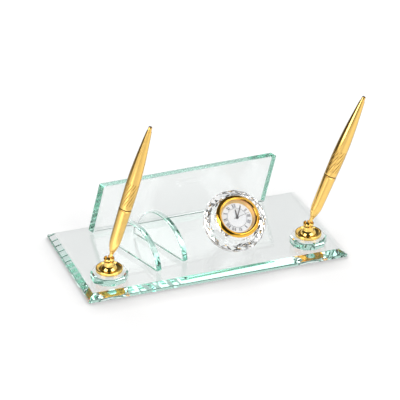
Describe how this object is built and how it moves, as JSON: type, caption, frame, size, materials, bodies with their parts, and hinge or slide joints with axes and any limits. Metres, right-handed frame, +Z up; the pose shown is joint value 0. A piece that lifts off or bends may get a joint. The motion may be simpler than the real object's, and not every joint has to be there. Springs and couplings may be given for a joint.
{
  "type": "desk set",
  "caption": "Clear glass desk stand with an upright back panel, half-disc letter fins, a cut-crystal clock and gold swivel holders carrying twist ball pens.",
  "frame": {"origin": "middle of the plate's flat underside, on the table", "axes": "+X to the right along the plate, +Y to the back panel, +Z up"},
  "size_m": [0.2421, 0.115, 0.1338],
  "materials": {
    "plate_glass": "polished clear float glass with a green edge",
    "crystal_glass": "cut and polished clear crystal",
    "lens_glass": "polished clear",
    "gold": "polished yellow gold plate",
    "nylon": "matte",
    "refill_brass": "satin",
    "dial_white": "matte white with dark printed numerals",
    "hand_black": "satin black",
    "cup_brass": "satin",
    "gasket_rubber": "matte",
    "movement_plastic": "matte",
    "cell_steel": "satin"
  },
  "bodies": {
    "stand": {"base_plate": "plate_glass", "back_panel": "plate_glass", "fin_left": "plate_glass", "fin_right": "plate_glass", "pen_pad_left": "plate_glass", "pen_pad_right": "plate_glass", "clock_crystal": "crystal_glass", "flange_left": "gold", "flange_right": "gold", "funnel_left": "gold", "funnel_right": "gold"},
    "clock_insert": {"clock_bezel": "gold", "clock_lens": "lens_glass", "clock_cup": "cup_brass", "clock_gasket": "gasket_rubber", "clock_inner_ring": "gold", "clock_dial": "dial_white", "clock_movement": "movement_plastic", "clock_battery": "cell_steel"},
    "hour": {"hour_hand": "hand_black"},
    "minute": {"minute_hand": "hand_black"},
    "second": {"second_hand": "hand_black"},
    "knob": {"setting_knob": "movement_plastic"},
    "turn_left": {"ball_seat_left": "nylon"},
    "holder_left": {"swivel_ball_left": "gold"},
    "pen_left": {"pen_nose_left": "gold", "pen_lower_left": "gold", "pen_ring_left": "gold"},
    "top_left": {"pen_upper_left": "gold", "pen_finial_left": "gold", "pen_core_left": "nylon"},
    "ink_left": {"refill_left": "refill_brass"},
    "turn_right": {"ball_seat_right": "nylon"},
    "holder_right": {"swivel_ball_right": "gold"},
    "pen_right": {"pen_nose_right": "gold", "pen_lower_right": "gold", "pen_ring_right": "gold"},
    "top_right": {"pen_upper_right": "gold", "pen_finial_right": "gold", "pen_core_right": "nylon"},
    "ink_right": {"refill_right": "refill_brass"}
  },
  "joints": [
    {"name": "holder_turn_left", "type": "hinge", "parent": "stand", "child": "turn_left", "pos_m": [-0.0854, -0.033, 0.0205], "axis": [0, 0, 1], "continuous": true},
    {"name": "holder_tilt_left", "type": "hinge", "parent": "turn_left", "child": "holder_left", "pos_m": [-0.0854, -0.033, 0.0205], "axis": [0, 1, 0], "range_deg": [-44.7, 9.3]},
    {"name": "pen_lift_left", "type": "slide", "parent": "holder_left", "child": "pen_left", "axis": [0.304, 0, 0.9527], "range_m": [0, 0.03]},
    {"name": "pen_twist_left", "type": "hinge", "parent": "pen_left", "child": "top_left", "pos_m": [-0.0854, -0.033, 0.0205], "axis": [0.304, 0, 0.9527], "range_deg": [0, 150]},
    {"name": "refill_out_left", "type": "slide", "parent": "pen_left", "child": "ink_left", "axis": [-0.304, 0, -0.9527], "range_m": [0, 0.0025]},
    {"name": "holder_turn_right", "type": "hinge", "parent": "stand", "child": "turn_right", "pos_m": [0.0854, -0.033, 0.0205], "axis": [0, 0, 1], "continuous": true},
    {"name": "holder_tilt_right", "type": "hinge", "parent": "turn_right", "child": "holder_right", "pos_m": [0.0854, -0.033, 0.0205], "axis": [0, 1, 0], "range_deg": [-49.6, 4.4]},
    {"name": "pen_lift_right", "type": "slide", "parent": "holder_right", "child": "pen_right", "axis": [0.3843, 0, 0.9232], "range_m": [0, 0.03]},
    {"name": "pen_twist_right", "type": "hinge", "parent": "pen_right", "child": "top_right", "pos_m": [0.0854, -0.033, 0.0205], "axis": [0.3843, 0, 0.9232], "range_deg": [0, 150]},
    {"name": "refill_out_right", "type": "slide", "parent": "pen_right", "child": "ink_right", "axis": [-0.3843, 0, -0.9232], "range_m": [0, 0.0025]},
    {"name": "clock_lift", "type": "slide", "parent": "stand", "child": "clock_insert", "axis": [0.0234, -0.6687, 0.7431], "range_m": [0, 0.02]},
    {"name": "minute_turn", "type": "hinge", "parent": "clock_insert", "child": "minute", "pos_m": [0.02797, -0.02168, 0.03414], "axis": [-0.0234, 0.6687, -0.7431], "continuous": true},
    {"name": "hour_turn", "type": "hinge", "parent": "clock_insert", "child": "hour", "pos_m": [0.02797, -0.02168, 0.03414], "axis": [-0.0234, 0.6687, -0.7431], "continuous": true},
    {"name": "second_turn", "type": "hinge", "parent": "clock_insert", "child": "second", "pos_m": [0.02797, -0.02168, 0.03414], "axis": [-0.0234, 0.6687, -0.7431], "continuous": true},
    {"name": "knob_turn", "type": "hinge", "parent": "clock_insert", "child": "knob", "pos_m": [0.02797, -0.02168, 0.03414], "axis": [-0.0234, 0.6687, -0.7431], "continuous": true}
  ],
  "couplings": [
    {"joint": "refill_out_left", "follows": "pen_twist_left", "m_per_rad": 0.00095483},
    {"joint": "refill_out_right", "follows": "pen_twist_right", "m_per_rad": 0.00095483},
    {"joint": "hour_turn", "follows": "minute_turn", "ratio": 0.083333},
    {"joint": "knob_turn", "follows": "minute_turn", "ratio": 1}
  ]
}
